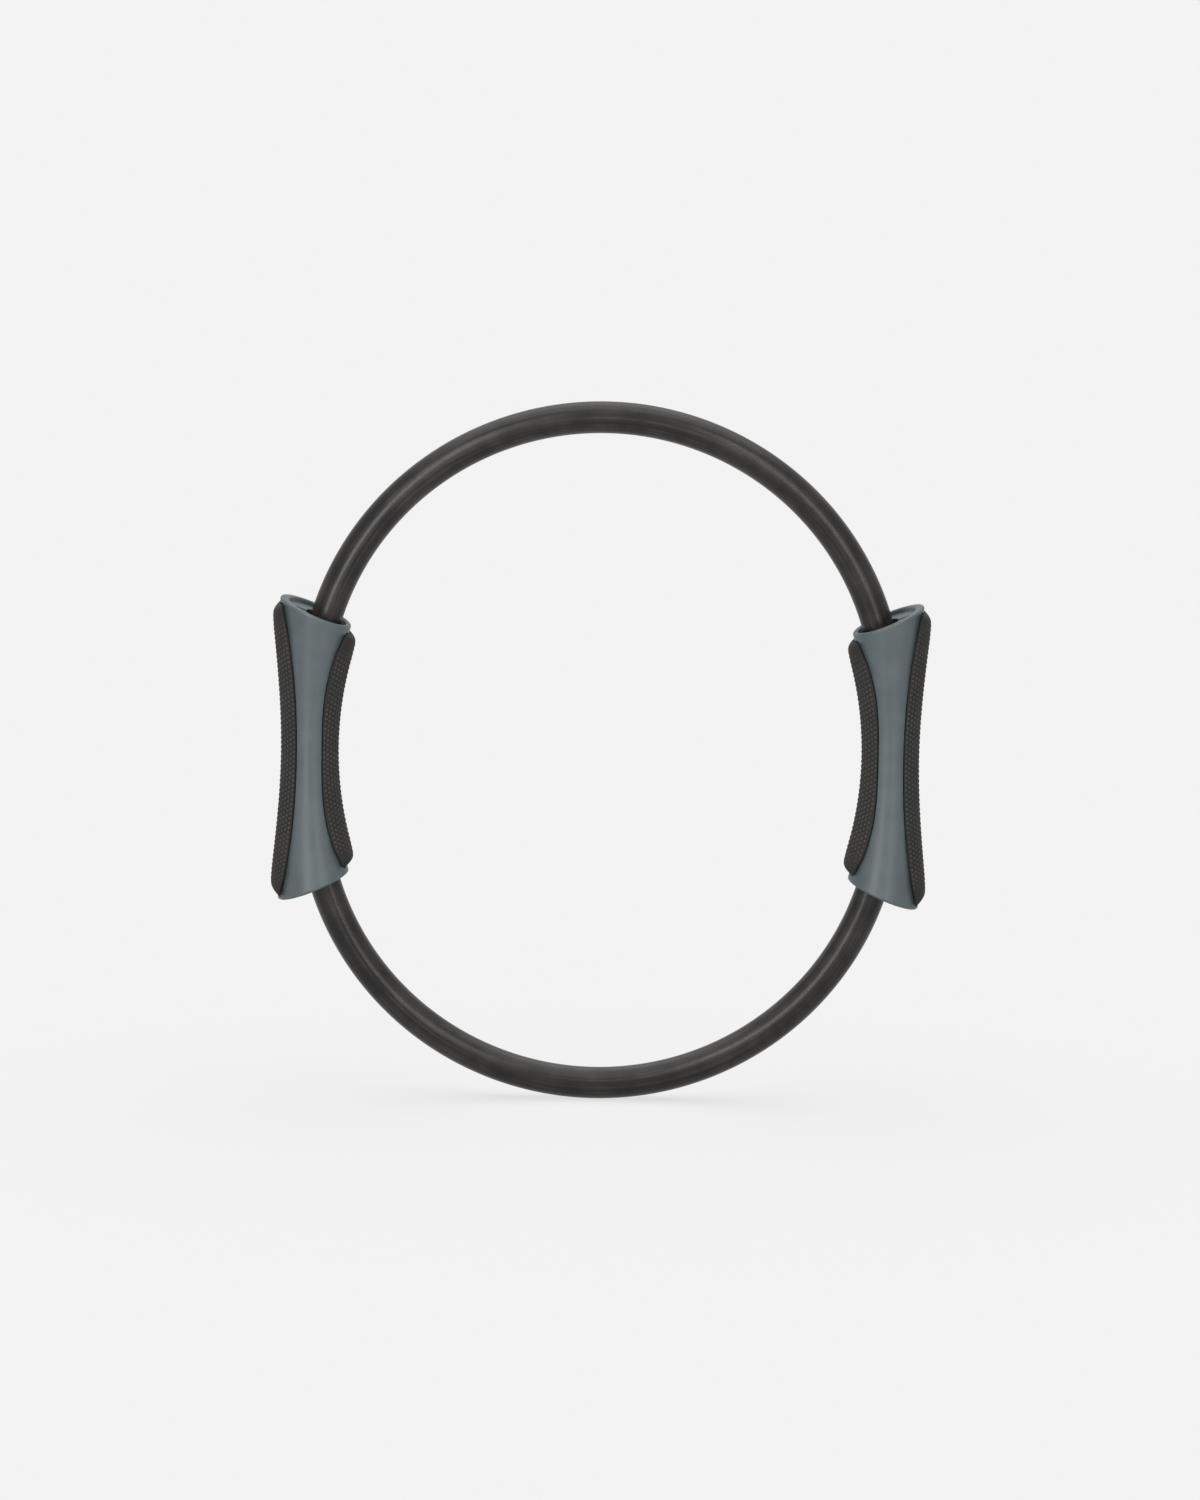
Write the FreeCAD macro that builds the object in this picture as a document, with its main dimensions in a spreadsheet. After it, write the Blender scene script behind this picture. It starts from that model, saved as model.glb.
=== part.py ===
# Pilates ring: two sprung half hoops in rubber sleeves, joined by two moulded handles.
# Millimetres. X runs to the right handle, Y is the axis of the ring, Z points to the upper crown.
# The origin is the middle of the ring, so everything is the same above and below it.
import FreeCAD
import Part
import Sketcher
import math
import os

doc = FreeCAD.newDocument("PilatesRing")
sheet = doc.addObject("Spreadsheet::Sheet", "Sizes")

# Driving dimensions: name, value, what it measures. Angles are in degrees.
sizes = [
    ("hoop_radius", 153.5, "crown arc, at the middle of the sleeve"),
    ("hoop_rise", 28, "middle of the ring to the centre of a crown arc"),
    ("ease_angle", 8, "where a leaf leaves its crown arc to run nearly straight through a handle"),
    ("sleeve_width", 17, "outside of the rubber sleeve"),
    ("sleeve_bore", 11, "hole in the sleeve for the two leaves"),
    ("sleeve_reach", 6.5, "length of sleeve inside a handle's mouth"),
    ("sleeve_short", 2.2, "gap between the lower sleeve and the right handle's mouth"),
    ("leaf_width", 9, "spring leaf along the ring's axis"),
    ("leaf_thickness", 2.5, "spring leaf across the ring"),
    ("leaf_gap", 0.3, "between the outer and the inner leaf"),
    ("leaf_end_gap", 2, "between the ends of the upper and lower leaves, inside a handle"),
    ("ferrule_length", 60, "steel sleeve that joins the ends of the leaves"),
    ("ferrule_wall", 1.2, "sheet of the ferrule"),
    ("ferrule_fit", 0.15, "room round the leaves, and round the ferrule in its ribs"),
    ("rivet_width", 4, "shank of a ferrule rivet"),
    ("rivet_place", 14, "rivet to the middle of the handle"),
    ("rivet_head", 6.4, "widest part of a rivet head"),
    ("rivet_head_rise", 1.6, "height of a rivet head"),
    ("rivet_fit", 0.1, "room round a rivet"),
    ("handle_pivot", 26.6, "middle of the ring to the line where a handle's cross sections meet"),
    ("mouth_angle", 22.7, "slope of a handle's mouth"),
    ("mouth_shift", 12.6, "how much further from the pivot the mouth lies than the neck"),
    ("neck_width", 24.6, "handle's narrowest shell, across the ring"),
    ("neck_depth", 30, "handle's narrowest shell, along the ring's axis"),
    ("mouth_width", 41.4, "handle's mouth, across the ring"),
    ("mouth_depth", 41.8, "handle's mouth, along the ring's axis"),
    ("flare_power", 2, "how late the handle opens out to its mouths"),
    ("shell_wall", 2.8, "moulded wall of a handle"),
    ("lip_outer_wall", 5.2, "wall of the mouth's lip at its outer end"),
    ("lip_inner_wall", 3, "wall of the mouth's lip at its inner end"),
    ("lip_round", 1.2, "rounding of the mouth's lip, inside and outside"),
    ("parting_gap", 0.3, "line between the front and back shells"),
    ("web_depth", 2.2, "mouth to the back shell's web"),
    ("web_step", 0.6, "how much deeper the front shell's web lies"),
    ("web_thickness", 2, "web across the mouth"),
    ("web_fit", 2.8, "room round the sleeve in the web"),
    ("rib_thickness", 1.8, "rib that holds the ferrule"),
    ("rib_place", 25, "outer ribs to the middle of the handle"),
    ("screw_back", 17, "screws to the mouth, along the handle"),
    ("screw_out", 1.5, "outer screws to the mouth's middle, across the ring"),
    ("screw_in", 16.5, "inner screws to the mouth's middle, across the ring"),
    ("screw_width", 2.9, "shank of a shell screw"),
    ("screw_head", 4.6, "head of a shell screw"),
    ("screw_head_rise", 2, "height of a screw head"),
    ("screw_seat", 8, "parting line to the seat of a screw head"),
    ("screw_bite", 9, "length of screw in the front shell"),
    ("screw_fit", 0.1, "room round a screw"),
    ("screw_clear", 1, "hole beyond the tip of a screw"),
    ("boss_wall", 1.1, "wall round a screw head"),
    ("pad_thickness", 2.8, "pad standing out from the shell at the neck"),
    ("pad_end_thickness", 5.4, "pad standing out from the shell, towards the mouth"),
    ("pad_edge", 0.4, "pad standing out from the front of the shell"),
    ("pad_seat", 1, "depth of the recess that a pad is bonded into"),
    ("pad_fit", 0.1, "bond line under and round a pad"),
    ("pad_end_slope", 40, "slope of a pad's end face"),
    ("pad_end_round", 4, "rounding of the ends of a pad"),
    ("pad_side_round", 0.8, "rounding of the sides of a pad"),
    ("outer_pad_end", 6.9, "mouth to the end of the outer pad, at the mouth's full width"),
    ("outer_seam", 6.5, "neck's middle line to the outer pad"),
    ("outer_seam_sweep", 9, "how far the outer pad's side swings out, up to the mouth's outer end"),
    ("outer_seam_power", 2.2, "how late the outer pad's side swings out"),
    ("inner_pad_end", 3.7, "mouth to the end of the inner pad, at the mouth's full width"),
    ("inner_seam", 6.6, "neck's middle line to the inner pad"),
    ("inner_seam_sweep", 27, "how far the inner pad's side swings in, up to the mouth's outer end"),
    ("inner_seam_power", 3, "how late the inner pad's side swings in"),
]
for row, (alias, value, meaning) in enumerate(sizes, start=1):
    sheet.set(f"A{row}", meaning)
    sheet.set(f"B{row}", str(value))
    sheet.setAlias(f"B{row}", alias)
doc.recompute()

# Sizes that follow from the driving ones, as expressions.
ease_radius = "(Sizes.hoop_radius + Sizes.hoop_rise / sin(Sizes.ease_angle))"
neck_middle = f"(Sizes.hoop_radius * cos(Sizes.ease_angle) + {ease_radius} * (1 - cos(Sizes.ease_angle)))"
ease_centre = f"({neck_middle} - {ease_radius})"
neck_reach = f"({neck_middle} + Sizes.handle_pivot)"
mouth_reach = f"({neck_reach} + Sizes.mouth_shift)"
mouth_offset = "(Sizes.hoop_rise * cos(Sizes.mouth_angle) - Sizes.handle_pivot * sin(Sizes.mouth_angle))"
mouth_on_hoop = f"(Sizes.mouth_angle - asin({mouth_offset} / Sizes.hoop_radius) / 1 deg)"
stack_half = "(Sizes.leaf_thickness + Sizes.leaf_gap / 2)"
room = f"(4 * {mouth_reach})"  # longer than anything here, for the tools that cut
level = "rotation(vector(0; 1; 0); 0)"


def along_hoop(length):
    return f"({length} / Sizes.hoop_radius * 180 / pi)"


def along_ease(length):
    return f"({length} / {ease_radius} * 180 / pi)"


def from_mouth(outward, down):
    # X and Z of a point in the right handle, from the pivot line's side of the upper mouth.
    x = f"({outward} * cos(Sizes.mouth_angle) + {down} * sin(Sizes.mouth_angle) - Sizes.handle_pivot)"
    z = f"({outward} * sin(Sizes.mouth_angle) - {down} * cos(Sizes.mouth_angle))"
    return x, z


def at(x, y, z, turn=level):
    return f"placement(vector({x}; {y}; {z}); {turn})"


def turned(angle):
    # From the X axis towards the Z axis, in the plane of the ring.
    return f"rotation(vector(0; 1; 0); -({angle}))"


def make(kind, name, place=None, **bound):
    thing = doc.addObject(kind, name)
    for size, expression in bound.items():
        thing.setExpression(size, str(expression))
    if place:
        thing.setExpression("Placement", place)
    return thing


def cut(name, base, tool):
    result = doc.addObject("Part::Cut", name)
    result.Base = base
    result.Tool = tool
    return result


def common(name, first, second):
    result = doc.addObject("Part::Common", name)
    result.Base = first
    result.Tool = second
    return result


def fuse(name, pieces):
    result = doc.addObject("Part::MultiFuse", name)
    result.Shapes = pieces
    return result


def group(name, pieces):
    result = doc.addObject("Part::Compound", name)
    result.Links = pieces
    return result


def mirrored(name, source, normal):
    result = doc.addObject("Part::Mirroring", name)
    result.Source = source
    result.Normal = FreeCAD.Vector(*normal)
    return result


def slice_of(name, centre, radius, start, sweep, depth):
    # A pie slice of a disc in the plane of the ring.
    turn = f"{turned(start)} * rotation(vector(1; 0; 0); 90)"
    place = at(centre[0], f"({depth}) / 2", centre[1], turn)
    return make("Part::Cylinder", name, place, Radius=radius, Height=depth, Angle=sweep)


def band(name, centre, radius, inside, outside, start, sweep, depth):
    # A flat strip bent to a radius, between two offsets from it.
    disc = slice_of(name + "Disc", centre, f"{radius} + {outside}", start, sweep, depth)
    hole = slice_of(name + "Hole", centre, f"{radius} + {inside}", "0", "360", f"2 * {depth}")
    return cut(name, disc, hole)


def across(name, x, z, radius, start, length):
    # A cylinder along the ring's axis, from a distance behind the parting plane.
    turn = "rotation(vector(1; 0; 0); -90)"
    return make("Part::Cylinder", name, at(x, start, z, turn), Radius=radius, Height=length)


def sleeve(name, centre_z, start, sweep):
    # A rubber tube bent round a crown arc.
    body = doc.addObject("PartDesign::Body", name)
    ring = body.newObject("Sketcher::SketchObject", name + "Ring")
    plane = [item for item in body.Origin.OriginFeatures if item.Role == "XY_Plane"][0]
    ring.AttachmentSupport = (plane, [""])
    ring.MapMode = "FlatFace"
    for width in ("sleeve_width", "sleeve_bore"):
        middle = FreeCAD.Vector(sheet.get("hoop_radius"), 0, 0)
        circle = ring.addGeometry(Part.Circle(middle, FreeCAD.Vector(0, 0, 1), sheet.get(width) / 2))
        ring.addConstraint(Sketcher.Constraint("PointOnObject", circle, 3, -1))
        reach = ring.addConstraint(Sketcher.Constraint("DistanceX", -1, 1, circle, 3, middle.x))
        ring.setExpression(f"Constraints[{reach}]", "Sizes.hoop_radius")
        size = ring.addConstraint(Sketcher.Constraint("Diameter", circle, sheet.get(width)))
        ring.setExpression(f"Constraints[{size}]", f"Sizes.{width}")
    bend = body.newObject("PartDesign::Revolution", name + "Bend")
    bend.Profile = ring
    bend.ReferenceAxis = (ring, ["V_Axis"])
    bend.setExpression("Angle", sweep)
    body.setExpression("Placement", at("0", "0", centre_z, turned(start)))
    return body


def sleeves():
    inside = f"({mouth_on_hoop} - {along_hoop('Sizes.sleeve_reach')})"
    outside = f"({mouth_on_hoop} + {along_hoop('Sizes.sleeve_short')})"
    return [
        sleeve("upper_sleeve", "Sizes.hoop_rise", f"180 - {inside}", f"180 - 2 * {inside}"),
        sleeve("lower_sleeve", "-Sizes.hoop_rise", f"-{outside}", f"180 - {inside} - {outside}"),
    ]


def rivet_hole(name, side):
    # A hole through both leaves and the ferrule, square to them, in the right handle.
    angle = f"{side} * {along_ease('Sizes.rivet_place')}"
    turn = f"rotation(vector(0; 1; 0); 90 - ({angle}))"
    start = f"({ease_radius} - 2 * {stack_half} - 2 * Sizes.ferrule_wall)"
    place = at(f"{ease_centre} + {start} * cos({angle})", "0", f"{start} * sin({angle})", turn)
    length = f"4 * {stack_half} + 4 * Sizes.ferrule_wall"
    radius = "Sizes.rivet_width / 2 + Sizes.rivet_fit"
    return make("Part::Cylinder", name, place, Radius=radius, Height=length)


def leaf(name, inside, outside, up):
    # A flat fibreglass strip: a crown arc that eases out to nearly straight at both ends.
    depth = "Sizes.leaf_width"
    crown_start = "Sizes.ease_angle" if up > 0 else "180 + Sizes.ease_angle"
    crown = band(
        name + "Crown", ("0", f"{up} * Sizes.hoop_rise"), "Sizes.hoop_radius", inside, outside,
        crown_start, "180 - 2 * Sizes.ease_angle", depth,
    )
    first = along_ease("Sizes.leaf_end_gap / 2")
    right_start = first if up > 0 else "-Sizes.ease_angle"
    right = band(
        name + "Right", (ease_centre, "0"), ease_radius, inside, outside,
        right_start, f"Sizes.ease_angle - {first}", depth,
    )
    left = mirrored(name + "Left", right, (1, 0, 0))
    strip = fuse(name + "Strip", [crown, right, left])
    hole = rivet_hole(name + "RightHole", up)
    holes = group(name + "Holes", [hole, mirrored(name + "LeftHole", hole, (1, 0, 0))])
    return cut(name, strip, holes)


def leaves():
    near = "Sizes.leaf_gap / 2"
    offsets = {"outer": (near, stack_half), "inner": (f"-{stack_half}", f"-({near})")}
    return [
        leaf(f"{half}_{layer}_leaf", inside, outside, up)
        for half, up in (("upper", 1), ("lower", -1))
        for layer, (inside, outside) in offsets.items()
    ]


def ferrule():
    # A bent rectangular sleeve that takes the leaf ends from above and below.
    start = f"-{along_ease('Sizes.ferrule_length / 2')}"
    sweep = along_ease("Sizes.ferrule_length")
    inside = f"({stack_half} + Sizes.ferrule_fit)"
    outside = f"({inside} + Sizes.ferrule_wall)"
    centre = (ease_centre, "0")
    bore_depth = "(Sizes.leaf_width + 2 * Sizes.ferrule_fit)"
    outer = band(
        "FerruleOutside", centre, ease_radius, f"-{outside}", outside,
        start, sweep, f"({bore_depth} + 2 * Sizes.ferrule_wall)",
    )
    bore = band(
        "FerruleBore", centre, ease_radius, f"-{inside}", inside,
        f"2 * {start}", f"2 * {sweep}", bore_depth,
    )
    holes = group("FerruleHoles", [rivet_hole("FerruleHoleUp", 1), rivet_hole("FerruleHoleDown", -1)])
    return cut("right_leaf_ferrule", cut("FerruleTube", outer, bore), holes)


def rivet(name, side):
    # A shank with a coned head against each face of the ferrule.
    angle = f"({side} * {along_ease('Sizes.rivet_place')})"
    face = f"({stack_half} + Sizes.ferrule_fit + Sizes.ferrule_wall + Sizes.rivet_fit)"

    def on_axis(kind, part, offset, outward, **bound):
        reach = f"({ease_radius} + {offset})"
        turn = f"rotation(vector(0; 1; 0); {outward} * 90 - {angle})"
        place = at(f"{ease_centre} + {reach} * cos({angle})", "0", f"{reach} * sin({angle})", turn)
        return make(kind, name + part, place, **bound)

    head = {
        "Radius1": "Sizes.rivet_head / 2",
        "Radius2": "Sizes.rivet_width / 2",
        "Height": "Sizes.rivet_head_rise",
    }
    shank = on_axis(
        "Part::Cylinder", "Shank", f"-{face}", 1, Radius="Sizes.rivet_width / 2", Height=f"2 * {face}",
    )
    outer_head = on_axis("Part::Cone", "OuterHead", face, 1, **head)
    inner_head = on_axis("Part::Cone", "InnerHead", f"-{face}", -1, **head)
    return fuse(name, [shank, outer_head, inner_head])


def rivets():
    return group("right_ferrule_rivets", [rivet("RivetUp", 1), rivet("RivetDown", -1)])


# Cross sections of a handle, from its lower mouth to its upper one.
stations = (-1, -0.7, -0.35, 0, 0.35, 0.7, 1)
seam_turn = {"back": 90, "front": 270}  # where a section starts, round from the ring's outside
section_points = 16
seam_points = 11
neck_point = make("Part::Vertex", "NeckPoint", X=neck_middle)
mouth_end = f"({mouth_reach} + Sizes.mouth_width / 2)"
mouth_point = make("Part::Vertex", "MouthPoint", Z=from_mouth(mouth_end, "0")[1])
doc.recompute()


def flared(neck, mouth, station):
    return neck + (mouth - neck) * abs(station) ** sheet.get("flare_power")


def skin(
    name, axis_extra, ring_extra, ring_end_extra=None, end_shift=0, overrun=1, first_turn=seam_turn["back"],
):
    # A closed hourglass round the handle: ovals in planes that all meet at the pivot line.
    # The extras are offsets from the outside of the shell, along the ring's axis and across the ring.
    # The shift moves the mouths outward.
    axis = FreeCAD.Vector(0, 1, 0)
    pivot = FreeCAD.Vector(-sheet.get("handle_pivot"), 0, 0)
    first = math.radians(first_turn)
    turns = [first + 2 * math.pi * number / section_points for number in range(section_points)]
    wires = []
    for station in stations:
        station = station * overrun
        turn_up = FreeCAD.Rotation(axis, -station * sheet.get("mouth_angle"))
        outward = turn_up.multVec(FreeCAD.Vector(1, 0, 0))
        reach = neck_point.X.Value - pivot.x + (sheet.get("mouth_shift") + end_shift) * station ** 2
        ring_half = flared(sheet.get("neck_width") / 2, sheet.get("mouth_width") / 2, station)
        ring_half += flared(ring_extra, ring_extra if ring_end_extra is None else ring_end_extra, station)
        axis_half = flared(sheet.get("neck_depth") / 2, sheet.get("mouth_depth") / 2, station) + axis_extra
        points = [
            pivot + outward * (reach + ring_half * math.cos(turn)) + axis * (axis_half * math.sin(turn))
            for turn in turns
        ]
        oval = Part.BSplineCurve()
        oval.interpolate(Points=points, PeriodicFlag=True, Parameters=list(range(section_points + 1)))
        wires.append(Part.Wire(oval.toShape()))
    result = doc.addObject("Part::Feature", name)
    result.Shape = Part.makeLoft(wires, True)
    return result


def mouth_web(name, up, half, hole):
    # One shell's share of the flat web that closes a mouth, with room for the sleeve.
    depth = "Sizes.web_depth" if half == "back" else "(Sizes.web_depth + Sizes.web_step)"
    start = f"-({depth} + Sizes.web_thickness)" if up > 0 else depth
    side = "0" if half == "back" else "-Sizes.mouth_depth"
    pivot = at("-Sizes.handle_pivot", "0", "0", turned(f"{up} * Sizes.mouth_angle"))
    place = f"{pivot} * {at('0', side, start)}"
    slab = make(
        "Part::Box", name + "Slab", place,
        Length=room, Width="Sizes.mouth_depth", Height="Sizes.web_thickness",
    )
    return cut(name, slab, hole)


def seam_side(name, which, fit):
    # Everything beyond a pad's seam, which runs straight at the neck and swings away towards the mouths.
    away = 1 if which == "outer" else -1
    rise = mouth_point.Z.Value
    seam = sheet.get(f"{which}_seam") + fit
    sweep = sheet.get(f"{which}_seam_sweep")
    front = -sheet.get("mouth_depth")
    points = []
    for number in range(seam_points):
        station = 2 * number / (seam_points - 1) - 1
        offset = seam + sweep * abs(station) ** sheet.get(f"{which}_seam_power")
        points.append(FreeCAD.Vector(neck_point.X.Value + away * offset, front, station * rise))
    line = Part.BSplineCurve()
    line.interpolate(Points=points)
    far = FreeCAD.Vector(neck_point.X.Value + away * sheet.get("mouth_width"), front, 0)
    corners = [points[-1], far + FreeCAD.Vector(0, 0, rise), far - FreeCAD.Vector(0, 0, rise), points[0]]
    outline = Part.Wire([line.toShape()] + Part.makePolygon(corners).Edges)
    result = doc.addObject("Part::Feature", name)
    result.Shape = Part.Face(outline).extrude(FreeCAD.Vector(0, -2 * front, 0))
    return result


def pad_zone(name, which, fit_alias=None):
    # The part of the handle that a pad covers: beyond its seam, between two sloped ends.
    away = 1 if which == "outer" else -1
    fit = f"Sizes.{fit_alias}" if fit_alias else "0"
    slope = "Sizes.pad_end_slope"
    x, z = from_mouth(f"({mouth_reach} + {away} * Sizes.mouth_width / 2)", f"Sizes.{which}_pad_end")
    tip = f"{x} + {away} * ({z} / tan({slope}) - {fit} / sin({slope}))"
    start = f"180 - {slope}" if which == "outer" else f"-{slope}"
    ends = slice_of(name + "Ends", (tip, "0"), room, start, f"2 * {slope}", room)
    side = seam_side(name + "Side", which, sheet.get(fit_alias) if fit_alias else 0)
    return common(name, side, ends)


def screw_places():
    places = []
    for aside in ("Sizes.screw_out", "-Sizes.screw_in"):
        x, z = from_mouth(f"({mouth_reach} + {aside})", "Sizes.screw_back")
        places += [(x, z), (x, f"-{z}")]
    return places


def sleeve_hole(name, up):
    # A round hole through a web, along the crown arc where it meets the mouth.
    angle = f"({up} * {mouth_on_hoop})"
    x = f"Sizes.hoop_radius * cos({angle})"
    z = f"{up} * Sizes.hoop_rise + Sizes.hoop_radius * sin({angle})"
    on_hoop = at(x, "0", z, f"{turned(angle)} * rotation(vector(0; 0; 1); 90)")
    place = f"{on_hoop} * {at('0', '0', '-Sizes.mouth_width')}"
    radius = "Sizes.sleeve_width / 2 + Sizes.web_fit"
    return make("Part::Cylinder", name, place, Radius=radius, Height="2 * Sizes.mouth_width")


def inside_work():
    # Webs, ribs and screw bosses that stay when the handle is hollowed.
    kept = []
    for end, up in (("upper", 1), ("lower", -1)):
        hole = sleeve_hole(f"{end}_hole", up)
        kept += [mouth_web(f"{end}_{half}_web", up, half, hole) for half in ("front", "back")]
    for number, up in enumerate((-1, 0, 1)):
        height = f"{up} * Sizes.rib_place - Sizes.rib_thickness / 2"
        place = at(f"{neck_middle} - Sizes.mouth_width", "-Sizes.mouth_depth", height)
        kept.append(make(
            "Part::Box", f"Rib{number}", place, Length="2 * Sizes.mouth_width",
            Width="2 * Sizes.mouth_depth", Height="Sizes.rib_thickness",
        ))
    boss_radius = "Sizes.screw_head / 2 + Sizes.screw_fit + Sizes.boss_wall"
    for number, (x, z) in enumerate(screw_places()):
        boss = across(f"Boss{number}", x, z, boss_radius, "-Sizes.mouth_depth", "2 * Sizes.mouth_depth")
        kept.append(boss)
    return fuse("InsideWork", kept)


def mouth_edges(shape, tolerance=0.01):
    # Edges round the lips: on a handle's two mouth planes, apart from the cuts at the parting line.
    pivot = FreeCAD.Vector(-sheet.get("handle_pivot"), 0, 0)
    chosen = []
    for number, edge in enumerate(shape.Edges, start=1):
        for up in (1, -1):
            spin = FreeCAD.Rotation(FreeCAD.Vector(0, 1, 0), -up * sheet.get("mouth_angle"))
            normal = spin.multVec(FreeCAD.Vector(0, 0, 1))
            points = [vertex.Point for vertex in edge.Vertexes] + [edge.CenterOfMass]
            on_mouth = all(abs((point - pivot).dot(normal)) < tolerance for point in points)
            if on_mouth and edge.BoundBox.YLength > tolerance:
                chosen.append(number)
    return chosen


def rounded(name, base, edges_and_radii):
    result = doc.addObject("Part::Fillet", name)
    result.Base = base
    result.Edges = [(number, radius, radius) for number, radius in edges_and_radii]
    return result


def screw_holes():
    holes = []
    fit = "Sizes.screw_fit"
    for number, (x, z) in enumerate(screw_places()):
        shank = across(
            f"ScrewHole{number}", x, z, f"Sizes.screw_width / 2 + {fit}",
            "-(Sizes.screw_bite + Sizes.screw_clear)",
            "Sizes.screw_bite + Sizes.screw_clear + Sizes.screw_seat",
        )
        head = across(
            f"HeadHole{number}", x, z, f"Sizes.screw_head / 2 + {fit}",
            "Sizes.screw_seat", "Sizes.mouth_depth",
        )
        holes += [shank, head]
    return holes


def shell_half(which, start, kept, removed):
    # Half of the moulded handle: hollowed round its inside work, recessed for the pads and lipped.
    # The seam of each skin lies in the other half, so this half is smooth all round.
    seam = seam_turn["back" if which == "front" else "front"]
    wall = sheet.get("shell_wall")
    seat = sheet.get("pad_seat")
    past_mouths = 1.06
    side = make(
        "Part::Box", f"{which}_side", at("0", start, f"-{room} / 2"), Length=room, Width=room, Height=room,
    )
    outside = common(f"{which}_outside", skin(f"{which}_skin", 0, 0, first_turn=seam), side)
    lip_walls = sheet.get("lip_outer_wall"), sheet.get("lip_inner_wall")
    hollow = skin(
        f"{which}_hollow", -wall, -wall, -sum(lip_walls) / 2, (lip_walls[1] - lip_walls[0]) / 2,
        overrun=past_mouths, first_turn=seam,
    )
    half = cut(f"{which}_blank", outside, cut(f"{which}_space", hollow, kept))
    half = cut(f"{which}_seated", half, removed)
    bed = skin(f"{which}_bed", -seat, -seat, first_turn=seam)
    for pad in ("outer", "inner"):
        recess = cut(f"{which}_{pad}_recess", pad_zone(f"{which}_{pad}_recess_zone", pad), bed)
        half = cut(f"{which}_for_{pad}_pad", half, recess)
    doc.recompute()
    lip = sheet.get("lip_round")
    return rounded(f"right_{which}_shell", half, [(number, lip) for number in mouth_edges(half.Shape)])


def shell_halves():
    fit = f"({stack_half} + 2 * Sizes.ferrule_fit + Sizes.ferrule_wall)"
    ferrule_room = band(
        "FerruleRoom", (ease_centre, "0"), ease_radius, f"-{fit}", fit,
        f"-{along_ease('Sizes.ferrule_length')}", along_ease("2 * Sizes.ferrule_length"),
        "(Sizes.leaf_width + 4 * Sizes.ferrule_fit + 2 * Sizes.ferrule_wall)",
    )
    removed = fuse("ShellRemoved", [ferrule_room] + screw_holes())
    kept = inside_work()
    starts = {"front": f"-({room} + Sizes.parting_gap / 2)", "back": "Sizes.parting_gap / 2"}
    return [shell_half(which, start, kept, removed) for which, start in starts.items()]


def pad_rim(shape):
    # The rim of a pad's outer face, its largest: rounder where the pad ends than along its sides.
    face = max(shape.Faces, key=lambda item: item.Area)
    rim = []
    for number, edge in enumerate(shape.Edges, start=1):
        if any(edge.isSame(other) for other in face.Edges):
            at_end = edge.BoundBox.YLength > edge.BoundBox.ZLength
            rim.append((number, sheet.get("pad_end_round" if at_end else "pad_side_round")))
    return rim


def pads():
    outside = skin(
        "PadOutside", sheet.get("pad_edge"), sheet.get("pad_thickness"), sheet.get("pad_end_thickness"),
    )
    under = sheet.get("pad_fit") - sheet.get("pad_seat")
    bed = skin("PadBed", under, under)
    made = []
    for which in ("outer", "inner"):
        slab = common(f"{which}_pad_slab", outside, pad_zone(f"{which}_pad_zone", which, "pad_fit"))
        blank = cut(f"{which}_pad_blank", slab, bed)
        doc.recompute()
        made.append(rounded(f"right_{which}_pad", blank, pad_rim(blank.Shape)))
    return made


def screws():
    group_of = []
    for number, (x, z) in enumerate(screw_places()):
        shank = across(
            f"Shank{number}", x, z, "Sizes.screw_width / 2", "-Sizes.screw_bite",
            "Sizes.screw_bite + Sizes.screw_seat + Sizes.screw_fit",
        )
        head = across(
            f"Head{number}", x, z, "Sizes.screw_head / 2", "Sizes.screw_seat + Sizes.screw_fit",
            "Sizes.screw_head_rise",
        )
        group_of.append(fuse(f"Screw{number}", [shank, head]))
    return group("right_shell_screws", group_of)


right_handle = shell_halves() + pads() + [ferrule(), rivets(), screws()]
left_handle = [
    mirrored(piece.Name.replace("right_", "left_"), piece, (1, 0, 0)) for piece in right_handle
]
subparts = sleeves() + leaves() + right_handle + left_handle
doc.recompute()

for item in doc.Objects:
    if "Invalid" in item.State or "Error" in item.State:
        raise RuntimeError(f"{item.Name} failed: {item.State}")
for piece in subparts:
    piece.Label = piece.Name
    if piece.Shape.isNull() or not piece.Shape.isValid() or not piece.Shape.Solids:
        raise RuntimeError(f"{piece.Label} has no valid shape")

os.makedirs("parts", exist_ok=True)
for piece in subparts:
    piece.Shape.exportStep(f"parts/{piece.Label}.step")
    print(piece.Label, len(piece.Shape.Solids), round(piece.Shape.Volume, 1))
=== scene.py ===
import math

import bmesh
import bpy
import numpy as np
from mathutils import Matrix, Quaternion, Vector


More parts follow.
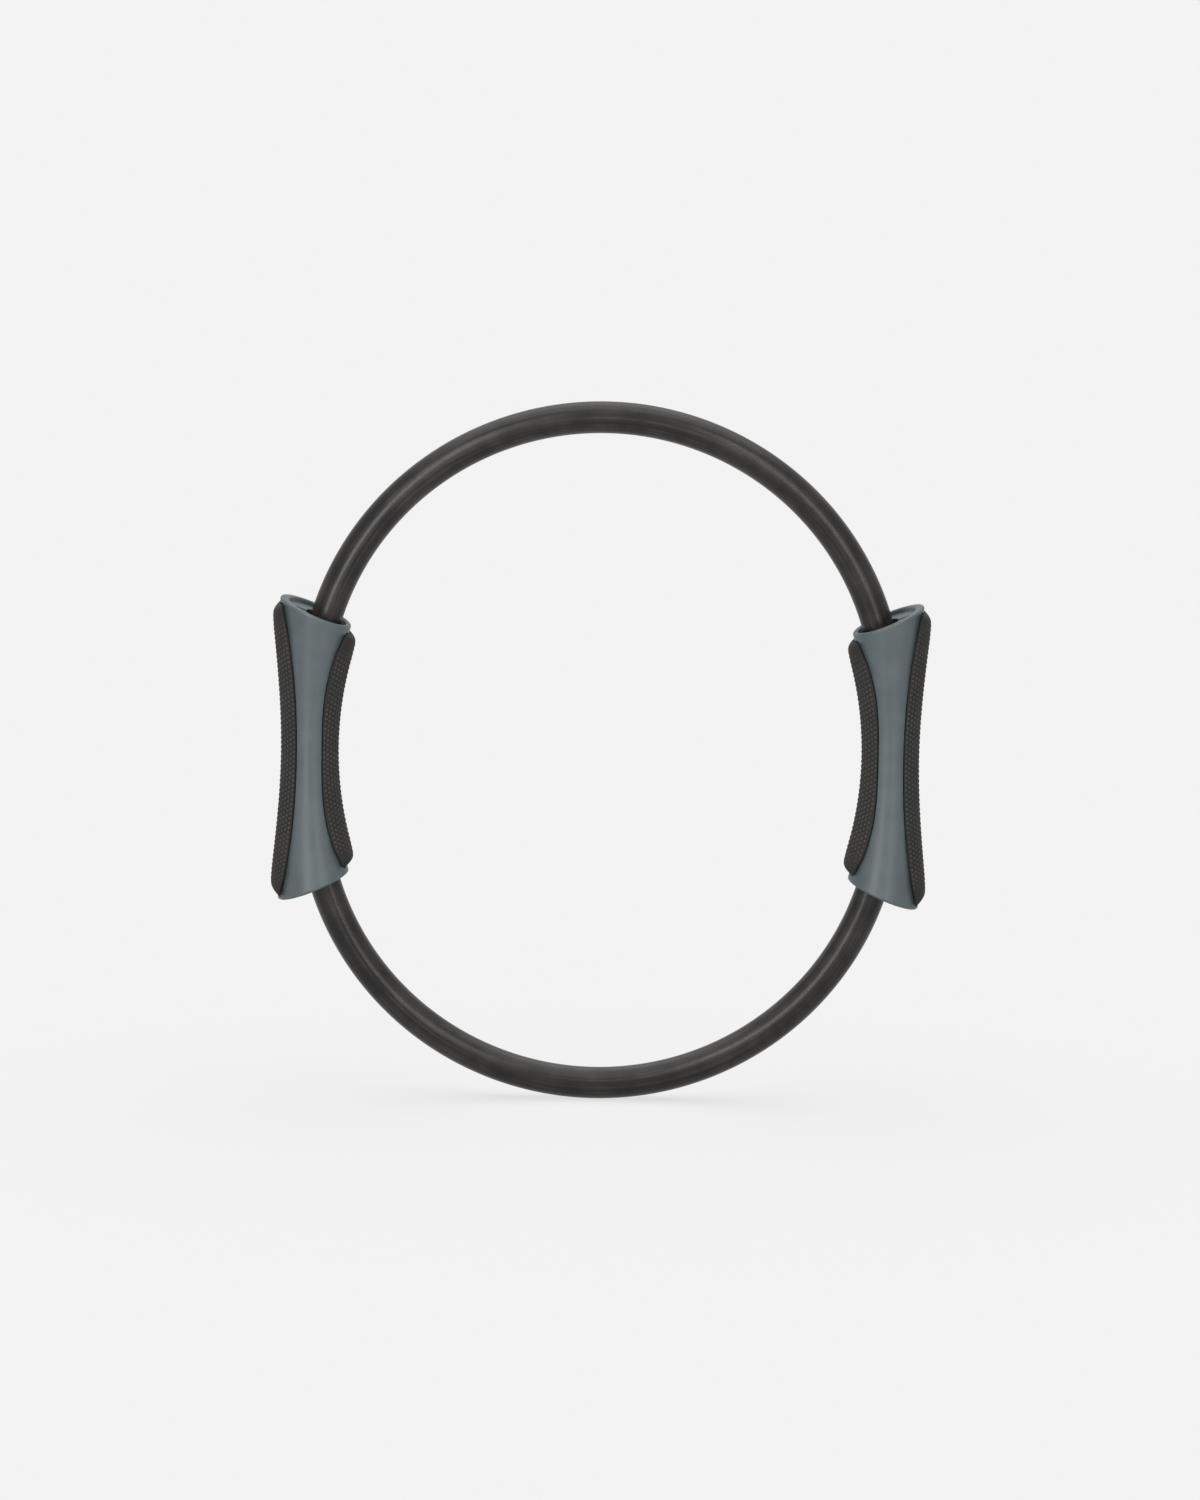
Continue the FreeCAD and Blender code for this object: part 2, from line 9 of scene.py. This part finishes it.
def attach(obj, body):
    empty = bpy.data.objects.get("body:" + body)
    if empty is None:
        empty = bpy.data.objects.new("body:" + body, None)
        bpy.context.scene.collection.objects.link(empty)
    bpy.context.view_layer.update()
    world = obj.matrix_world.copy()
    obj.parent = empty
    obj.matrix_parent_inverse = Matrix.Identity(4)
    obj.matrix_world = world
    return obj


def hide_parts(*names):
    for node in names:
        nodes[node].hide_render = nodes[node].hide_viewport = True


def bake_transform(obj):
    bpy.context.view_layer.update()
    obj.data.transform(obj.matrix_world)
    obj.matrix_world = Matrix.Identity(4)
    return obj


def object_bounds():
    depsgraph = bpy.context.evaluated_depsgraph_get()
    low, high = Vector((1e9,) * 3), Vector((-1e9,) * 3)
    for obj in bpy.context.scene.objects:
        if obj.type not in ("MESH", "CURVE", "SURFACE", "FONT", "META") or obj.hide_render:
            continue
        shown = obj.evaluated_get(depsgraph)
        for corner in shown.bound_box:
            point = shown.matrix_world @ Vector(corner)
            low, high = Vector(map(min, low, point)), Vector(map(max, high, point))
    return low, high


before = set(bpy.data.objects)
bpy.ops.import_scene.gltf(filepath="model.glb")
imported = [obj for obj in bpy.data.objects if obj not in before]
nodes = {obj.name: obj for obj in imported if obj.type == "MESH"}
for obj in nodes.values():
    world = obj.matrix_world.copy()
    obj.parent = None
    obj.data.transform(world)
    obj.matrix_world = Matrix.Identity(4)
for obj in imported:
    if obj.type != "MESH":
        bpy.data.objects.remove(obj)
cadLow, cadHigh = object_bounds()
scene = bpy.context.scene
scene.view_settings.view_transform = "Standard"
mm = 0.001
print("frame loaded:", len(nodes), "nodes")

# the photograph's view: a long lens from far off, a little from above and not quite level
shot = {
    "distance": 4.955,          # m, camera to the middle of the ring
    "elevation": 11.0,          # degrees
    "roll": 0.9,                # degrees, the ring's right side hangs lower
    "heightShown": 0.8034,      # m of the ring's plane in the frame's height
    "frame": (1200, 1500),      # pixels
    "middle": (600.1, 752.2),   # pixel of the middle of the ring
}


def placeCamera(spec):
    data = bpy.data.cameras.new("photoCamera")
    camera = bpy.data.objects.new("photoCamera", data)
    scene.collection.objects.link(camera)
    tilt = math.radians(spec["elevation"])
    back = Vector((0, -math.cos(tilt), math.sin(tilt)))
    roll = Quaternion((0, 0, 1), math.radians(spec["roll"]))
    camera.location = back * spec["distance"]
    camera.rotation_mode = "QUATERNION"
    camera.rotation_quaternion = (-back).to_track_quat("-Z", "Y") @ roll
    width, height = spec["frame"]
    data.lens = data.sensor_width * spec["distance"] / spec["heightShown"]
    data.shift_x = (width / 2 - spec["middle"][0]) / height
    data.shift_y = (spec["middle"][1] - height / 2) / height
    scene.camera = camera


placeCamera(shot)
print("camera placed")


def linear(hexColour):
    parts = [int(hexColour[i:i + 2], 16) / 255 for i in (1, 3, 5)]
    return [p / 12.92 if p <= 0.04045 else ((p + 0.055) / 1.055) ** 2.4 for p in parts] + [1.0]


def addNode(tree, kind, links=None, stops=(), **settings):
    # links: {input: socket that feeds it}; stops: a ramp's places and colours
    # settings: an input's value, or a property of the node, which is set first
    node = tree.nodes.new(kind)
    for name, value in settings.items():
        if hasattr(node, name):
            setattr(node, name, value)
    for name, value in settings.items():
        if not hasattr(node, name):
            node.inputs[name.replace("_", " ")].default_value = value
    for name, socket in (links or {}).items():
        tree.links.new(socket, node.inputs[name])
    for number, (place, colour) in enumerate(stops):
        node.color_ramp.elements[number].position = place
        node.color_ramp.elements[number].color = linear(colour)
    return node


def newMaterial(name):
    material = bpy.data.materials.new(name)
    material.use_nodes = True
    tree = material.node_tree
    return material, tree, tree.nodes["Principled BSDF"]


# in the finishes, a span is the pair of pattern values at which the two colours or roughnesses are reached

# ABS, injection moulded in a fine spark-eroded tool: an even satin that spreads each highlight
shellFinish = {
    "dark": "#454e51", "pale": "#4d575a", "cloud": 12 * mm, "span": (0.3, 0.7),
    "grain": 0.35 * mm, "grainDepth": 0.05 * mm, "grainStrength": 0.12,
    "roughness": (0.42, 0.5), "ior": 1.53, "specular": 0.5,
}


def mouldedAbs(spec):
    material, tree, shader = newMaterial("mouldedAbs")
    low, high = spec["span"]
    place = addNode(tree, "ShaderNodeTexCoord").outputs["Object"]
    cloud = addNode(tree, "ShaderNodeTexNoise", {"Vector": place}, Scale=1 / spec["cloud"], Detail=4.0)
    grain = addNode(tree, "ShaderNodeTexNoise", {"Vector": place}, Scale=1 / spec["grain"], Detail=2.0)
    colour = addNode(
        tree, "ShaderNodeValToRGB", {"Fac": cloud.outputs["Fac"]},
        stops=((low, spec["dark"]), (high, spec["pale"])),
    )
    rough = addNode(
        tree, "ShaderNodeMapRange", {"Value": cloud.outputs["Fac"]},
        From_Min=low, From_Max=high, To_Min=spec["roughness"][0], To_Max=spec["roughness"][1],
    )
    bump = addNode(
        tree, "ShaderNodeBump", {"Height": grain.outputs["Fac"]},
        Strength=spec["grainStrength"], Distance=spec["grainDepth"],
    )
    tree.links.new(colour.outputs["Color"], shader.inputs["Base Color"])
    tree.links.new(rough.outputs["Result"], shader.inputs["Roughness"])
    tree.links.new(bump.outputs["Normal"], shader.inputs["Normal"])
    shader.inputs["IOR"].default_value = spec["ior"]
    shader.inputs["Specular IOR Level"].default_value = spec["specular"]
    return material


# EVA foam, pressed hot in a dimpled plate: matt skin with fine cells, the dots' tops painted paler in
# patches as a painted highlight
padFinish = {
    "deep": "#252423", "top": "#42403d", "span": (0.0, 0.55), "highlightPatchSize": 9 * mm,
    "cell": 0.5 * mm, "cellDepth": 0.08 * mm, "cellStrength": 0.35,
    "roughness": 0.75, "ior": 1.45, "specular": 0.3,
}


def pressedFoam(spec):
    material, tree, shader = newMaterial("pressedFoam")
    low, high = spec["span"]
    place = addNode(tree, "ShaderNodeTexCoord").outputs["Object"]
    raised = addNode(tree, "ShaderNodeAttribute", attribute_name="dotRise").outputs["Fac"]
    cells = addNode(tree, "ShaderNodeTexNoise", {"Vector": place}, Scale=1 / spec["cell"], Detail=3.0)
    highlightPatches = addNode(tree, "ShaderNodeTexNoise", {"Vector": place}, Scale=1 / spec["highlightPatchSize"], Detail=3.0)
    # painted highlight: the tops of the raised dots are coloured paler, varied in patches
    paintedDotHighlight = addNode(tree, "ShaderNodeMath", {0: raised, 1: highlightPatches.outputs["Fac"]}, operation="MULTIPLY")
    colour = addNode(
        tree, "ShaderNodeValToRGB", {"Fac": paintedDotHighlight.outputs["Value"]},
        stops=((low, spec["deep"]), (high, spec["top"])),
    )
    bump = addNode(
        tree, "ShaderNodeBump", {"Height": cells.outputs["Fac"]},
        Strength=spec["cellStrength"], Distance=spec["cellDepth"],
    )
    tree.links.new(colour.outputs["Color"], shader.inputs["Base Color"])
    tree.links.new(bump.outputs["Normal"], shader.inputs["Normal"])
    shader.inputs["Roughness"].default_value = spec["roughness"]
    shader.inputs["IOR"].default_value = spec["ior"]
    shader.inputs["Specular IOR Level"].default_value = spec["specular"]
    return material


# rubber hose, extruded and bent round the ring: satin black, the highlight drawn out in die lines
# real die lines are about 0.3 mm apart: here they are coarse enough to show
sleeveFinish = {
    "black": "#151312", "bloom": "#33302d", "dust": 14 * mm, "span": (0.18, 0.42),
    "line": 1.1 * mm, "stretch": 0.01, "lineDepth": 0.12 * mm, "lineStrength": 0.25, "lineSpan": (0.3, 0.7),
    "roughness": (0.29, 0.38), "ior": 1.52, "specular": 0.28,
}


def extrudedRubber(spec):
    material, tree, shader = newMaterial("extrudedRubber")
    low, high = spec["span"]
    along = addNode(tree, "ShaderNodeAttribute", attribute_name="grain").outputs["Vector"]
    drawn = addNode(tree, "ShaderNodeMapping", {"Vector": along}, Scale=(1, 1, spec["stretch"]))
    lines = addNode(
        tree, "ShaderNodeTexNoise", {"Vector": drawn.outputs["Vector"]}, Scale=1 / spec["line"], Detail=2.0,
    )
    dust = addNode(tree, "ShaderNodeTexNoise", {"Vector": along}, Scale=1 / spec["dust"], Detail=5.0)
    streaks = addNode(
        tree, "ShaderNodeMath", {0: dust.outputs["Fac"], 1: lines.outputs["Fac"]}, operation="MULTIPLY",
    )
    colour = addNode(
        tree, "ShaderNodeValToRGB", {"Fac": streaks.outputs["Value"]},
        stops=((low, spec["black"]), (high, spec["bloom"])),
    )
    rough = addNode(
        tree, "ShaderNodeMapRange", {"Value": lines.outputs["Fac"]},
        From_Min=spec["lineSpan"][0], From_Max=spec["lineSpan"][1],
        To_Min=spec["roughness"][0], To_Max=spec["roughness"][1],
    )
    bump = addNode(
        tree, "ShaderNodeBump", {"Height": lines.outputs["Fac"]},
        Strength=spec["lineStrength"], Distance=spec["lineDepth"],
    )
    tree.links.new(colour.outputs["Color"], shader.inputs["Base Color"])
    tree.links.new(rough.outputs["Result"], shader.inputs["Roughness"])
    tree.links.new(bump.outputs["Normal"], shader.inputs["Normal"])
    shader.inputs["IOR"].default_value = spec["ior"]
    shader.inputs["Specular IOR Level"].default_value = spec["specular"]
    return material


# glass fibre strip, pulled through a resin bath: pale straw colour with strands along its length
stripFinish = {
    "glass": "#cfc7b0", "resin": "#a79d80", "strand": 0.3 * mm, "stretch": 0.02, "span": (0.35, 0.65),
    "roughness": 0.35, "ior": 1.55,
}


def pultrudedGlassFibre(spec):
    material, tree, shader = newMaterial("pultrudedGlassFibre")
    low, high = spec["span"]
    along = addNode(tree, "ShaderNodeAttribute", attribute_name="grain").outputs["Vector"]
    drawn = addNode(tree, "ShaderNodeMapping", {"Vector": along}, Scale=(1, 1, spec["stretch"]))
    strands = addNode(
        tree, "ShaderNodeTexNoise", {"Vector": drawn.outputs["Vector"]},
        Scale=1 / spec["strand"], Detail=3.0,
    )
    colour = addNode(
        tree, "ShaderNodeValToRGB", {"Fac": strands.outputs["Fac"]},
        stops=((low, spec["resin"]), (high, spec["glass"])),
    )
    tree.links.new(colour.outputs["Color"], shader.inputs["Base Color"])
    shader.inputs["Roughness"].default_value = spec["roughness"]
    shader.inputs["IOR"].default_value = spec["ior"]
    return material


# zinc plated steel, rolled and pressed: bluish grey with a fine spangle
steelFinish = {"dark": "#8d9298", "pale": "#b4b8bc", "spangle": 1.2 * mm, "roughness": (0.28, 0.45)}


def zincPlatedSteel(spec):
    material, tree, shader = newMaterial("zincPlatedSteel")
    place = addNode(tree, "ShaderNodeTexCoord").outputs["Object"]
    spangle = addNode(tree, "ShaderNodeTexVoronoi", {"Vector": place}, Scale=1 / spec["spangle"])
    shade = addNode(tree, "ShaderNodeSeparateColor", {"Color": spangle.outputs["Color"]}).outputs["Red"]
    colour = addNode(
        tree, "ShaderNodeValToRGB", {"Fac": shade}, stops=((0.0, spec["dark"]), (1.0, spec["pale"])),
    )
    rough = addNode(
        tree, "ShaderNodeMapRange", {"Value": shade},
        To_Min=spec["roughness"][0], To_Max=spec["roughness"][1],
    )
    tree.links.new(colour.outputs["Color"], shader.inputs["Base Color"])
    tree.links.new(rough.outputs["Result"], shader.inputs["Roughness"])
    shader.inputs["Metallic"].default_value = 1.0
    return material


shellPlastic = mouldedAbs(shellFinish)
padFoam = pressedFoam(padFinish)
sleeveRubber = extrudedRubber(sleeveFinish)
stripGlass = pultrudedGlassFibre(stripFinish)
plainSteel = zincPlatedSteel(steelFinish)
print("materials made")

meshing = {
    "weld": 0.001 * mm,                 # points nearer than this are one point
    "sharpEdge": math.radians(40),      # a steeper edge stays sharp
}


def dress(piece, material):
    piece.data.materials.clear()
    piece.data.materials.append(material)


def meshPoints(mesh):
    places = np.empty(len(mesh.vertices) * 3)
    mesh.vertices.foreach_get("co", places)
    return places.reshape(-1, 3)


def tidyMesh(mesh):
    # faces all point out, and shade smoothly up to the sharp edges
    work = bmesh.new()
    work.from_mesh(mesh)
    bmesh.ops.remove_doubles(work, verts=work.verts, dist=meshing["weld"])
    bmesh.ops.recalc_face_normals(work, faces=work.faces)
    work.to_mesh(mesh)
    work.free()
    mesh.shade_smooth()
    mesh.set_sharp_from_angle(angle=meshing["sharpEdge"])


# the hoop: two crown arcs, one above and one below the middle of the ring
hoop = {
    "radius": 153.5 * mm, "rise": 28 * mm,
    "cutGap": 0.0001 * mm,      # the halves of a sleeve or leaf stop just short of the crown
}
# sleeve ends are cut square, with a softened edge
sleeve = {
    "width": 17 * mm, "bore": 11 * mm, "endRound": 1.1 * mm, "boreRound": 0.5 * mm,
    "inside": 6.5 * mm,         # of each end, within the handle
    "ringStep": 1.5 * mm, "aroundSteps": 72, "roundSteps": 6,
}
# a quarter of the hoop runs from its crown, on a body that stays, to a handle, which moves; here it is only
# placed, not bent
quarters = {
    "upper_left": {"up": 1, "side": -1, "bodies": ("upper_bow", "left_handle")},
    "upper_right": {"up": 1, "side": 1, "bodies": ("upper_bow", "right_handle")},
    "lower_left": {"up": -1, "side": -1, "bodies": ("lower_bow", "left_handle")},
    "lower_right": {"up": -1, "side": 1, "bodies": ("lower_inner_bow", "right_handle")},
}


def hoopPoint(angle, up, side):
    reach = hoop["radius"]
    return Vector((side * reach * math.cos(angle), 0, up * (hoop["rise"] + reach * math.sin(angle))))


def hoopAngles(places, up):
    return np.arctan2(places[:, 2] * up - hoop["rise"], np.abs(places[:, 0]))


# all four sleeve ends go as far into a handle as the upper sleeve's do
sleeveEnd = hoopAngles(meshPoints(nodes["upper_sleeve"].data), 1).min()


def storeGrain(mesh, up):
    # each point as it lay before bending: across, along the ring's axis, along the hoop from its crown
    places = meshPoints(mesh)
    across = np.hypot(places[:, 0], places[:, 2] * up - hoop["rise"]) - hoop["radius"]
    run = (math.pi / 2 - hoopAngles(places, up)) * hoop["radius"] * np.sign(places[:, 0])
    straight = np.column_stack((across, places[:, 1], run)).astype(np.float32)
    mesh.attributes.new("grain", "FLOAT_VECTOR", "POINT").data.foreach_set("vector", straight.ravel())


def bendWithHandle(piece):
    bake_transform(piece)


def addQuarter(mesh, quarter, node, material):
    tidyMesh(mesh)
    storeGrain(mesh, quarter["up"])
    piece = bpy.data.objects.new(mesh.name, mesh)
    scene.collection.objects.link(piece)
    dress(piece, material)
    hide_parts(node)
    bendWithHandle(piece)


def sleeveRings(endAngle):
    # (angle, radius) of each ring: out along the outside, round the cut end, back along the bore
    outer, inner = sleeve["width"] / 2, sleeve["bore"] / 2
    crownAngle = math.pi / 2 - hoop["cutGap"] / hoop["radius"]
    steps = math.ceil((crownAngle - endAngle) * hoop["radius"] / sleeve["ringStep"])

    def roundEdge(radius, size, outward):
        edge = []
        for number in range(sleeve["roundSteps"] + 1):
            turn = number / sleeve["roundSteps"] * math.pi / 2
            back = size * (1 - math.sin(turn)) / hoop["radius"]
            edge.append((endAngle + back, radius - outward * size * (1 - math.cos(turn))))
        return edge

    outerEnd = endAngle + sleeve["endRound"] / hoop["radius"]
    innerEnd = endAngle + sleeve["boreRound"] / hoop["radius"]
    outside = [(angle, outer) for angle in np.linspace(crownAngle, outerEnd, steps)[:-1]]
    bore = [(angle, inner) for angle in np.linspace(innerEnd, crownAngle, steps)[1:]]
    outerEdge = roundEdge(outer, sleeve["endRound"], 1)
    innerEdge = roundEdge(inner, sleeve["boreRound"], -1)
    return outside + outerEdge + innerEdge[::-1] + bore


def makeSleeve(quarterName, quarter):
    up, side = quarter["up"], quarter["side"]
    half = quarterName.split("_")[0]
    rings = sleeveRings(sleeveEnd)
    count = sleeve["aroundSteps"]
    points = []
    for angle, radius in rings:
        middle = hoopPoint(angle, up, side)
        outward = (middle - Vector((0, 0, up * hoop["rise"]))).normalized()
        for number in range(count):
            turn = 2 * math.pi * number / count
            points.append(
                middle + outward * radius * math.cos(turn) + Vector((0, radius * math.sin(turn), 0))
            )
    faces = []
    for ring in range(len(rings)):
        following = (ring + 1) % len(rings)
        for number in range(count):
            beside = (number + 1) % count
            faces.append((
                ring * count + number, ring * count + beside,
                following * count + beside, following * count + number,
            ))
    mesh = bpy.data.meshes.new(f"{quarterName}_sleeve")
    mesh.from_pydata(points, [], faces)
    addQuarter(mesh, quarter, f"{half}_sleeve", sleeveRubber)


def makeLeaf(quarterName, quarter, layer):
    # half of a spring strip, cut at the crown
    side = quarter["side"]
    half = quarterName.split("_")[0]
    node = f"{half}_{layer}_leaf"
    mesh = nodes[node].data.copy()
    mesh.name = f"{quarterName}_{layer}_leaf"
    work = bmesh.new()
    work.from_mesh(mesh)
    bmesh.ops.remove_doubles(work, verts=work.verts, dist=meshing["weld"])
    cutPlane = bmesh.ops.bisect_plane(
        work, geom=work.verts[:] + work.edges[:] + work.faces[:],
        plane_co=(side * hoop["cutGap"], 0, 0), plane_no=(side, 0, 0), clear_inner=True,
    )
    rim = [item for item in cutPlane["geom_cut"] if isinstance(item, bmesh.types.BMEdge)]
    bmesh.ops.holes_fill(work, edges=rim)
    work.to_mesh(mesh)
    work.free()
    addQuarter(mesh, quarter, node, stripGlass)


for quarterName, quarter in quarters.items():
    makeSleeve(quarterName, quarter)
    for layer in ("outer", "inner"):
        makeLeaf(quarterName, quarter, layer)
print("sleeves and leaves made")

# a handle's cross sections are ovals in planes that meet at a line beyond the ring's middle
handle = {
    "pivot": 26.6 * mm,                     # that line, from the ring's middle
    "mouthAngle": math.radians(22.7),
    "neck": 155.46 * mm,                    # middle of the neck's oval, from the ring's middle
    "mouthShift": 12.6 * mm,                # how much further out a mouth's oval lies
    "neckHalf": (12.3 * mm, 15 * mm),       # across the ring, along its axis
    "mouthHalf": (20.7 * mm, 20.9 * mm),
}
# bonded foam pads with columns of raised dots, every other column half a step on
pad = {
    "cell": 0.4 * mm,           # mesh size
    "soften": 8,                # smoothing passes
    "dotStep": 2.6 * mm, "columnGap": 2.1 * mm, "dotWidth": 1.9 * mm, "dotRise": 0.5 * mm,
    "dotEdge": (0.2, 0.55),             # of a dot's width, from its middle: end of the flat top, foot
    "bareEnd": (3 * mm, 16 * mm),       # from the pad's end: no dots, full dots
    "roundEnd": (5 * mm, 12 * mm),      # from the pad's end: fully rounded off, left as it is
    "roundPasses": 160,
    "seamGap": 0.3 * mm,                # the sides stand off the edge of the recess
    "face": (0.7, 0.95), "side": (0.3, 0.8),    # how squarely a point looks out of the handle
}


def smoothStep(values, start, end):
    share = np.clip((values - start) / (end - start), 0, 1)
    return share * share * (3 - 2 * share)


def onHandle(places, inward):
    # distance along the handle, round it from the middle of the pad, and the way out of its oval
    x = np.abs(places[:, 0]) + handle["pivot"]
    angle = np.arctan2(places[:, 2], x)
    reach = np.hypot(x, places[:, 2])
    station = angle / handle["mouthAngle"]
    middle = handle["neck"] + handle["pivot"] + handle["mouthShift"] * station ** 2
    across, deep = [
        neck + (mouth - neck) * station ** 2 for neck, mouth in zip(handle["neckHalf"], handle["mouthHalf"])
    ]
    beyond = reach - middle
    turn = np.arctan2(places[:, 1] / deep, beyond / across * (-1 if inward else 1))
    slope = beyond / across ** 2
    out = np.column_stack((
        slope * np.cos(angle) * np.sign(places[:, 0]), places[:, 1] / deep ** 2, slope * np.sin(angle),
    ))
    return angle * reach, turn * (across + deep) / 2, out / np.linalg.norm(out, axis=1)[:, None]


def dotPattern(along, around):
    # 1 on a dot's flat top, 0 between the dots
    step, pair = pad["dotStep"], 2 * pad["columnGap"]
    nearest = np.full(len(along), step)
    for shift in (0, 0.5):
        u = (along / step + shift + 0.5) % 1 - 0.5
        v = (around / pair + shift + 0.5) % 1 - 0.5
        nearest = np.minimum(nearest, np.hypot(u * step, v * pair))
    return 1 - smoothStep(nearest / pad["dotWidth"], *pad["dotEdge"])


def endDistance(along):
    return np.abs(along).max() - np.abs(along)


def applyModifiers(piece):
    graph = bpy.context.evaluated_depsgraph_get()
    mesh = bpy.data.meshes.new_from_object(piece.evaluated_get(graph))
    piece.modifiers.clear()
    piece.data = mesh
    mesh.name = piece.name
    return mesh


def roundEnds(piece, inward):
    # the ends of a pad are softer than its long sides
    along, _, _ = onHandle(meshPoints(piece.data), inward)
    weights = 1 - smoothStep(endDistance(along), *pad["roundEnd"])
    group = piece.vertex_groups.new(name="ends")
    for number in np.flatnonzero(weights):
        group.add([int(number)], weights[number], "REPLACE")
    soften = piece.modifiers.new("roundEnds", "SMOOTH")
    soften.vertex_group = group.name
    soften.iterations = pad["roundPasses"]
    mesh = applyModifiers(piece)
    piece.vertex_groups.clear()
    return mesh


def makePad(side, which):
    node = f"{side}_{which}_pad"
    inward = which == "inner"
    piece = bpy.data.objects.new(f"{side}_{which}_foam_pad", nodes[node].data.copy())
    scene.collection.objects.link(piece)
    even = piece.modifiers.new("even", "REMESH")
    even.mode = "VOXEL"
    even.voxel_size = pad["cell"]
    soften = piece.modifiers.new("soften", "SMOOTH")
    soften.iterations = pad["soften"]
    applyModifiers(piece)
    mesh = roundEnds(piece, inward)
    mesh.shade_smooth()
    places = meshPoints(mesh)
    normals = np.array([v.normal for v in mesh.vertices])
    along, around, out = onHandle(places, inward)
    facing = (normals * out).sum(axis=1)
    onFace = smoothStep(facing, *pad["face"])
    onSide = 1 - smoothStep(np.abs(facing), *pad["side"])
    rise = dotPattern(along, around) * onFace * smoothStep(endDistance(along), *pad["bareEnd"])
    places += normals * (rise * pad["dotRise"] - onSide * pad["seamGap"])[:, None]
    mesh.vertices.foreach_set("co", places.astype(np.float32).ravel())
    # the dots' rise, kept for the foam's painted highlight on the dot tops
    mesh.attributes.new("dotRise", "FLOAT", "POINT").data.foreach_set("value", rise.astype(np.float32))
    mesh.update()
    dress(piece, padFoam)
    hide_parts(node)
    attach(piece, f"{side}_handle")


for side in ("left", "right"):
    for which in ("outer", "inner"):
        makePad(side, which)
print("pads made")

for side in ("left", "right"):
    for shell in ("front_shell", "back_shell"):
        dress(nodes[f"{side}_{shell}"], shellPlastic)
    for steelPiece in ("leaf_ferrule", "ferrule_rivets", "shell_screws"):
        dress(nodes[f"{side}_{steelPiece}"], plainSteel)
print("shells and steel dressed")

# pale studio: a floor that fills the view, a tall soft box each side of the camera and light from above
studio = {
    "backdrop": "#f3f3f3",
    "fill": 0.12,               # even light from all round
    "floor": {
        "colour": "#f3f3f3", "glow": "#f9f9f9", "width": 60,    # m
        "shadow": 0.25,         # share of the floor's look that takes light and shadow
    },
    "softBoxes": {              # place and size in m
        "leftBox": {"place": (-0.53, -1.08, 0.48), "size": (0.2, 1.3), "watts": 10.2},
        "rightBox": {"place": (0.53, -1.08, 0.48), "size": (0.2, 1.3), "watts": 6.4},
    },
    "skylight": {"tilt": 8, "spread": 80, "strength": 2.2},     # degrees, tilted away from the camera
}


def whereBackdropShows(tree):
    # the camera, reflections and refractions see the pale backdrop, other rays the plain light
    path = addNode(tree, "ShaderNodeLightPath").outputs
    seen = path["Is Camera Ray"]
    for ray in ("Is Glossy Ray", "Is Transmission Ray"):
        seen = addNode(
            tree, "ShaderNodeMath", {0: seen, 1: path[ray]}, operation="MAXIMUM",
        ).outputs["Value"]
    return seen


def makeBackdrop(spec):
    world = bpy.data.worlds.new("studioWorld")
    scene.world = world
    world.use_nodes = True
    tree = world.node_tree
    tree.nodes.clear()
    fill = addNode(tree, "ShaderNodeBackground", Color=(1, 1, 1, 1), Strength=spec["fill"])
    shown = addNode(tree, "ShaderNodeBackground", Color=linear(spec["backdrop"]), Strength=1.0)
    mixed = addNode(
        tree, "ShaderNodeMixShader",
        {0: whereBackdropShows(tree), 1: fill.outputs["Background"], 2: shown.outputs["Background"]},
    )
    addNode(tree, "ShaderNodeOutputWorld", {"Surface": mixed.outputs["Shader"]})


def makeFloor(spec):
    half = spec["width"] / 2
    mesh = bpy.data.meshes.new("floor")
    corners = [(x * half, y * half, cadLow.z) for x, y in ((-1, -1), (1, -1), (1, 1), (-1, 1))]
    mesh.from_pydata(corners, [], [(0, 1, 2, 3)])
    floor = bpy.data.objects.new("floor", mesh)
    scene.collection.objects.link(floor)
    material, tree, _ = newMaterial("paintedFloor")
    tree.nodes.clear()
    paint = addNode(tree, "ShaderNodeBsdfDiffuse", Color=linear(spec["colour"]))
    glow = addNode(tree, "ShaderNodeEmission", Color=linear(spec["glow"]), Strength=1.0)
    seen = addNode(tree, "ShaderNodeMath", {0: whereBackdropShows(tree)}, operation="MULTIPLY")
    seen.inputs[1].default_value = 1 - spec["shadow"]
    mixed = addNode(
        tree, "ShaderNodeMixShader",
        {0: seen.outputs["Value"], 1: paint.outputs["BSDF"], 2: glow.outputs["Emission"]},
    )
    addNode(tree, "ShaderNodeOutputMaterial", {"Surface": mixed.outputs["Shader"]})
    dress(floor, material)
    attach(floor, "lower_bow")     # the ring stands on its lower crown however it is pressed
    return floor


def hangLamp(name, kind, towards):
    # towards: from the ring to the lamp
    lamp = bpy.data.objects.new(name, bpy.data.lights.new(name, kind))
    lamp.rotation_mode = "QUATERNION"
    lamp.rotation_quaternion = Vector(towards).to_track_quat("Z", "Y")
    scene.collection.objects.link(lamp)
    return lamp


def makeLamps(spec, floor):
    sky = spec["skylight"]
    tilt = math.radians(sky["tilt"])
    skylight = hangLamp("skylight", "SUN", (0, math.sin(tilt), math.cos(tilt)))
    skylight.data.angle = math.radians(sky["spread"])
    skylight.data.energy = sky["strength"]
    # the boxes stand close, so they leave the floor out to keep it even
    floorOnly = bpy.data.collections.new("floorOnly")
    floorOnly.objects.link(floor)
    floorOnly.collection_objects[0].light_linking.link_state = "EXCLUDE"
    for name, box in spec["softBoxes"].items():
        x, y, z = box["place"]
        lamp = hangLamp(name, "AREA", (x, y, 0))
        lamp.location = (x, y, z)
        lamp.data.shape = "RECTANGLE"
        lamp.data.size, lamp.data.size_y = box["size"]
        lamp.data.energy = box["watts"]
        lamp.visible_camera = False
        lamp.light_linking.receiver_collection = floorOnly


makeBackdrop(studio)
makeLamps(studio, makeFloor(studio["floor"]))
print("studio made")
